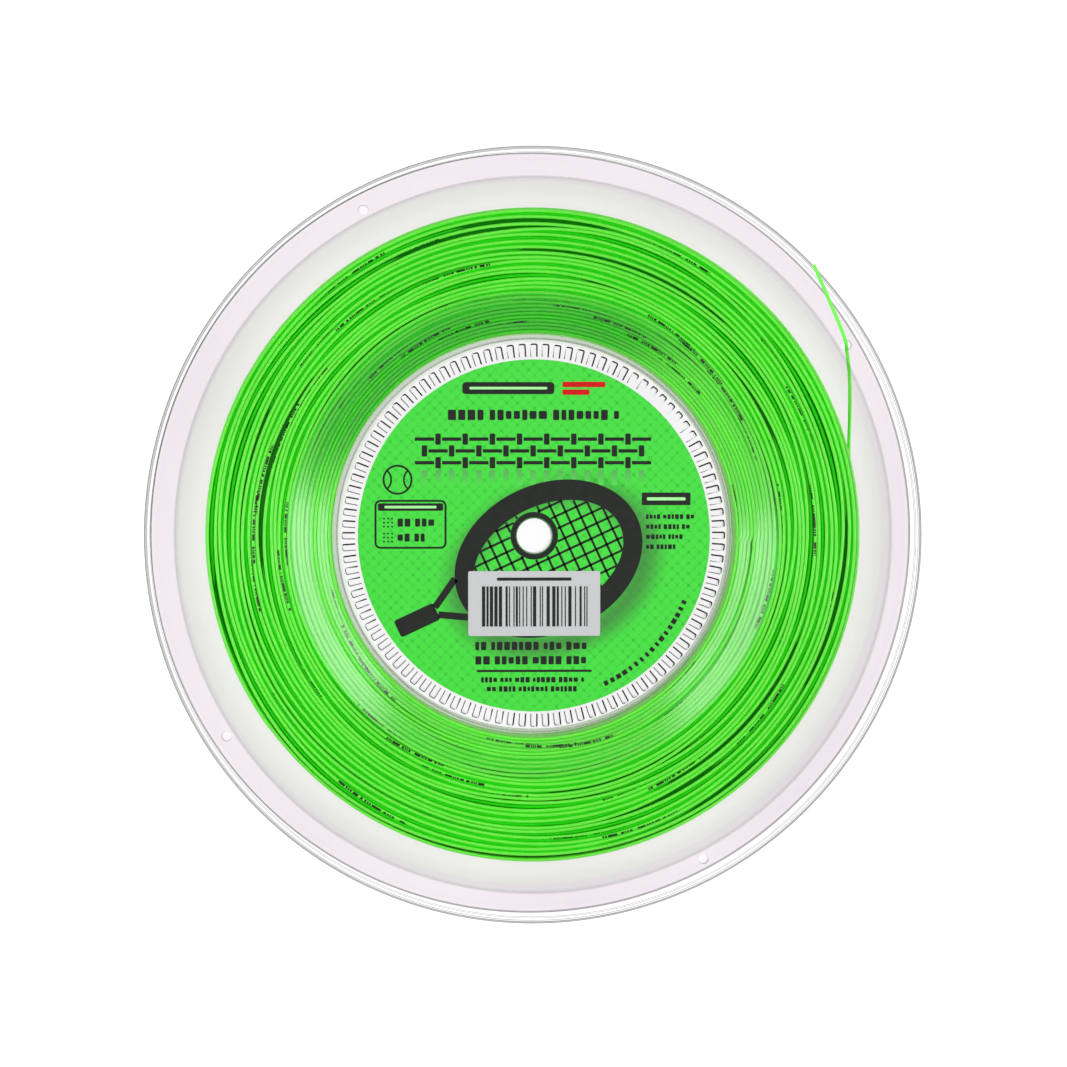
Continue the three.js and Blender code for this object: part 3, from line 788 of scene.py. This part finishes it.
labelPaper = labelMaterial()
charcoalInk = paperMaterial("charcoalInk", "#1c1f1c", "#262a25")
redInk = paperMaterial("redInk", "#d01818", "#b81012")
paleInk = paperMaterial("paleInk", "#a8f0a0", "#98e890")
fadingInk = echoMaterial()
bareBack = paperMaterial("uncoatedPaperBack", "#deded8", "#d2d2ca")
edge = label["edgeRound"]
disc = turnedShell([(label["hole"], label["bottom"]), (label["radius"], label["bottom"]),
                    (label["radius"], label["top"], *edge), (label["hole"], label["top"], *edge)], label["steps"])
for face in disc.faces:
    face.material_index = int(face.normal.z < -0.5)  # the print is on the front only
finishPiece("hub_label", disc, [labelPaper, bareBack], ["front_label"])


# A rounded bar, centred at x and y and turned by an angle in degrees.
def inkBar(bm, x, y, width, height, rounding=0.3, angle=0):
    cosine, sine = math.cos(math.radians(angle)), math.sin(math.radians(angle))
    verts = []
    for sx, sy in ((-1, -1), (1, -1), (1, 1), (-1, 1)):
        px, py = sx * width / 2, sy * height / 2
        verts.append(bm.verts.new((x + px * cosine - py * sine, y + px * sine + py * cosine, 0)))
    bm.faces.new(verts)
    if rounding:
        bmesh.ops.bevel(bm, geom=verts, offset=rounding, offset_type="OFFSET", affect="VERTICES",
                        segments=3, profile=0.5, material=-1)


# A flat ring between two outlines of as many points.
def inkRing(bm, outer, inner):
    loops = []
    for outline in (outer, inner):
        verts = [bm.verts.new((x, y, 0)) for x, y in outline]
        loops += [bm.edges.new((verts[i - 1], verts[i])) for i in range(len(verts))]
    bmesh.ops.bridge_loops(bm, edges=loops)


def ellipse(centre, halves, tilt, count=96):
    turn = math.radians(tilt)
    points = []
    for i in range(count):
        x, y = halves[0] * math.cos(i / count * fullTurn), halves[1] * math.sin(i / count * fullTurn)
        points.append((centre[0] + x * math.cos(turn) - y * math.sin(turn),
                       centre[1] + x * math.sin(turn) + y * math.cos(turn)))
    return points


def roundedBox(x, y, width, height, rounding):
    steps, points = 6, []  # steps at each corner
    for quarter, (sx, sy) in enumerate(((1, 1), (-1, 1), (-1, -1), (1, -1))):
        corner = (x + sx * (width / 2 - rounding), y + sy * (height / 2 - rounding))
        points += [onCircle(rounding, (quarter + i / steps) * math.pi / 2, corner) for i in range(steps + 1)]
    return points


# Rows of plain blocks: widths, gaps and rounding are shares of the row's height.
blocks = {
    "firstGroup": (2, 5), "nextGroups": (3, 7), "widths": (0.45, 0.8), "heights": (1, 1, 0.78), "rounding": 0.12,
    "gap": 0.22, "groupGap": 0.6,
}


def inkBlocks(bm, rng, left, y, width, height):
    b = blocks
    x, inGroup = left, rng.randint(*b["firstGroup"])
    while True:
        block = height * rng.uniform(*b["widths"])
        if x + block > left + width:
            return
        inkBar(bm, x + block / 2, y, block, height * rng.choice(b["heights"]), height * b["rounding"])
        inGroup -= 1
        x += block + height * (b["gap"] if inGroup else b["groupGap"])
        if not inGroup:
            inGroup = rng.randint(*b["nextGroups"])


# Gives flat ink its depth and its height.
def printInk(name, bm, ink, height=label["top"]):
    raiseFaces(bm, artwork["inkDepth"])
    bmesh.ops.translate(bm, vec=(0, 0, height), verts=bm.verts)
    finishPiece(name, bm, [ink])


# Half of the chord that an ellipse cuts from a line at a distance from its middle.
def halfChord(halves, distance):
    return halves[0] * math.sqrt(max(0, 1 - (distance / halves[1]) ** 2))


def racketArt(bm):
    a = artwork
    centre, tilt = Vector(a["racketCentre"]), a["racketTilt"]
    along = Vector(onCircle(1, math.radians(tilt)))
    across = Vector((-along.y, along.x))
    inkRing(bm, ellipse(centre, a["racketOuter"], tilt), ellipse(centre, a["racketInner"], tilt))
    for way, (halves, direction, sideways) in enumerate(((a["racketInner"], along, across),
                                                         (a["racketInner"][::-1], across, along))):
        count = int(halves[1] / a["stringPitch"])
        for i in range(-count, count + 1):
            offset = i * a["stringPitch"]
            reach = halfChord(halves, offset) - a["frameGap"]
            pieces = [(-reach, reach)]
            near = -centre.dot(sideways) - offset
            if abs(near) < a["boreClearance"]:  # the string stops on both sides of the bore
                half, middle = math.sqrt(a["boreClearance"] ** 2 - near**2), -centre.dot(direction)
                pieces = [(-reach, middle - half), (middle + half, reach)]
            for start, end in pieces:
                if end - start > a["shortest"]:
                    spot = centre + sideways * offset + direction * (start + end) / 2
                    inkBar(bm, *spot, end - start, a["stringWidth"], 0, tilt + 90 * way)
    top, low = a["throat"]
    for side in (-1, 1):
        start = centre + along * top + across * side * a["throatHalf"][0]
        end = centre + along * low + across * side * a["throatHalf"][1]
        line = end - start
        inkBar(bm, *((start + end) / 2), line.length, a["throatWidth"], 0.3, math.degrees(math.atan2(line.y, line.x)))
    handle = centre + along * (low + a["handleEnd"]) / 2
    inkBar(bm, *handle, low - a["handleEnd"], a["handleWidth"], a["handleRound"], tilt)


# A strip woven of bars: each upright passes over and under the rows in turn.
def wovenStrip(bm):
    a = artwork
    for i in range(a["stripCount"]):
        x = a["stripLeft"] + (i + 0.5) * a["stripPitch"]
        for j, y in enumerate(a["stripRows"]):
            if (i + j) % 2:
                inkBar(bm, x, y, a["stripStroke"], a["stripHeight"], a["stripRound"])
            else:
                inkBar(bm, x, y, a["stripPitch"] * a["crossReach"], a["crossHeight"], a["crossRound"])


def panelArt(bm, rng):
    a = artwork
    inkRing(bm, roundedBox(*a["panel"]), roundedBox(*a["panelInside"]))
    inkBar(bm, *a["panelHead"])
    for row in a["panelRows"]:
        for i in range(3):
            for j in range(3):
                inkBar(bm, a["dotsLeft"] + i * a["dotPitch"], row[1] + (j - 1) * a["dotPitch"],
                       a["dotSize"], a["dotSize"], a["dotRound"])
        inkBlocks(bm, rng, *row)


def ballArt(bm):
    a = artwork
    x, y = a["ball"]
    inkRing(bm, *(ellipse(a["ball"], (radius, radius), 0, 48) for radius in (a["ballOuter"], a["ballInner"])))
    for side in (-1, 1):  # its two seams
        for i in range(-a["seamSteps"], a["seamSteps"] + 1):
            angle = i * a["seamAngle"] + (0 if side > 0 else 180)
            spot = onCircle(a["seamRadius"], math.radians(angle), (x - side * a["seamAway"], y))
            inkBar(bm, *spot, *a["seamDash"], 0, angle)


def charcoalArt(bm, rng):
    a = artwork
    racketArt(bm)
    wovenStrip(bm)
    inkBar(bm, *a["titleBar"])
    inkBlocks(bm, rng, *a["titleRow"])
    panelArt(bm, rng)
    inkBar(bm, *a["sideBar"])
    for row in a["sideRows"] + a["lowerRows"]:
        inkBlocks(bm, rng, *row)
    inkBar(bm, *a["rule"])
    for row in a["footRows"]:
        inkBlocks(bm, rng, *row)
    for i in range(a["arcBlocks"]):
        angle = a["arcStart"] + i * a["arcStep"]
        spot = onCircle(a["arcRadius"], math.radians(angle))
        inkBar(bm, *spot, a["arcWidth"], rng.uniform(*a["arcHeights"]), a["arcRound"], angle)
    ballArt(bm)
    inkRing(bm, *(ellipse((0, 0), (a[side],) * 2, 0, 64) for side in ("boreRingOuter", "boreRingInner")))


inkRng = random.Random(7)
dark = bmesh.new()
charcoalArt(dark, inkRng)
printInk("label_charcoal_print", dark, charcoalInk)
for name, bars, ink, height in (("label_red_bars", "redBars", redInk, label["top"]),
                                ("label_pale_print", "paleBars", paleInk, label["top"] + artwork["inkDepth"])):
    bm = bmesh.new()
    for bar in artwork[bars]:
        inkBar(bm, *bar)
    printInk(name, bm, ink, height)

echo = bmesh.new()
low, high = artwork["echoBottom"], artwork["stripRows"][0] - artwork["echoGap"]
for i in range(artwork["stripCount"]):
    x = artwork["stripLeft"] + (i + 0.5) * artwork["stripPitch"]
    inkBar(echo, x, (low + high) / 2, artwork["stripStroke"], high - low, 0)
printInk("label_strip_echo", echo, fadingInk, label["top"] - 0.01)  # just under the racket's ink, where they meet

sticker = {
    "middle": (0, -23.6), "size": (46, 22.6), "bottom": 23.7, "depth": 0.15, "cornerRound": 0.7,
    "barsLeft": -18.2, "barsRight": 18.2, "barsY": -24.6, "barsHeight": 14,
    "barWidths": (0.38, 0.38, 0.76, 1.14), "barGaps": (0.42, 0.42, 0.84, 1.2), "topLine": (0, -15.1, 26, 1.1, 0.3),
}
# Silver-grey paper, satin, with a faint grain of fibres across it.
silverPaper = paperMaterial("silverPaper", "#c2c4c5", "#b8babb", 0.45, 0.5, 700.0, 5)
paper = bmesh.new()
inkBar(paper, *sticker["middle"], *sticker["size"], sticker["cornerRound"])
raiseFaces(paper, sticker["depth"])
bmesh.ops.translate(paper, vec=(0, 0, sticker["bottom"]), verts=paper.verts)
finishPiece("paper_sticker", paper, [silverPaper], ["bar_sticker"])
bars = bmesh.new()
x = sticker["barsLeft"]
while x < sticker["barsRight"]:
    width = inkRng.choice(sticker["barWidths"])
    gap = inkRng.choice(sticker["barGaps"])
    inkBar(bars, x + width / 2, sticker["barsY"], width, sticker["barsHeight"], 0)
    x += width + gap
inkBar(bars, *sticker["topLine"])
printInk("sticker_bars", bars, charcoalInk, sticker["bottom"] + sticker["depth"])
print("label printed")


# Floor, lamps and sky.
studio = {
    "floorSize": 3.0, "floorDrop": 0.0004, "floorGlow": 0.92,
    "skyLow": 0.75, "skyHigh": 0.16, "skyFrom": 0.55, "skyTo": 0.9,  # brighter low down, darker straight above
    "lamps": [
        # place and size in metres, watts, seen in reflections
        ((0.0, 0.0, 1.8), 1.5, 8.6, False),
        ((-0.8, 0.0, 0.55), 0.4, 2.6, True),
        ((0.8, 0.0, 0.55), 0.4, 2.6, True),
        ((0.328, 0.074, 1.21), 0.44, 1.5, True),
        ((-0.252, 0.097, 1.25), 0.44, 1.2, True),
    ],
}
floorMaterial, tree = newMaterial("paleFloor")
path = addNode(tree, "LightPath")
seen = addNode(tree, "Math", {"operation": "MAXIMUM"},
               {0: path.outputs["Is Camera Ray"], 1: path.outputs["Is Glossy Ray"]})
seen = addNode(tree, "Math", {"operation": "MAXIMUM"}, {0: seen, 1: path.outputs["Is Transmission Ray"]})
glow = addNode(tree, "Math", {"operation": "MULTIPLY", 1: studio["floorGlow"]}, {0: seen})
diffuse = addNode(tree, "BsdfDiffuse", {"Color": linearColour("#959595")})
emission = addNode(tree, "Emission", {"Color": (1, 1, 1, 1)}, {"Strength": glow})
both = addNode(tree, "AddShader", links={0: diffuse, 1: emission})
addNode(tree, "OutputMaterial", links={"Surface": both})
bm = bmesh.new()
bmesh.ops.create_grid(bm, x_segments=1, y_segments=1, size=studio["floorSize"] / 2,
                      matrix=Matrix.Translation((0, 0, -studio["floorDrop"])))
floorMesh = bpy.data.meshes.new("floor")
bm.to_mesh(floorMesh)
bm.free()
floorMesh.materials.append(floorMaterial)
newObject("floor", floorMesh)

world = bpy.data.worlds.new("studio")
scene.world = world
world.use_nodes = True
tree = world.node_tree
tree.nodes.clear()
path = addNode(tree, "LightPath")
direction = addNode(tree, "TexCoord").outputs["Generated"]
climb = addNode(tree, "SeparateXYZ", links={0: direction}).outputs["Z"]
sky = addNode(tree, "MapRange", {1: studio["skyFrom"], 2: studio["skyTo"], 3: studio["skyLow"], 4: studio["skyHigh"]},
              {0: climb})
strength = addNode(tree, "Mix", {3: 1.0}, {0: path.outputs["Is Camera Ray"], 2: sky})
background = addNode(tree, "Background", {"Color": (1, 1, 1, 1)}, {"Strength": strength})
addNode(tree, "OutputWorld", links={"Surface": background})

for number, (spot, size, watts, reflected) in enumerate(studio["lamps"]):
    lamp = bpy.data.lights.new(f"softbox{number}", "AREA")
    lamp.shape = "SQUARE"
    lamp.size = size
    lamp.energy = watts
    lampObject = newObject(f"softbox{number}", lamp)
    lampObject.location = spot
    lampObject.rotation_euler = (-Vector(spot)).to_track_quat("-Z", "Y").to_euler()
    lampObject.visible_glossy = reflected
print("studio lit")
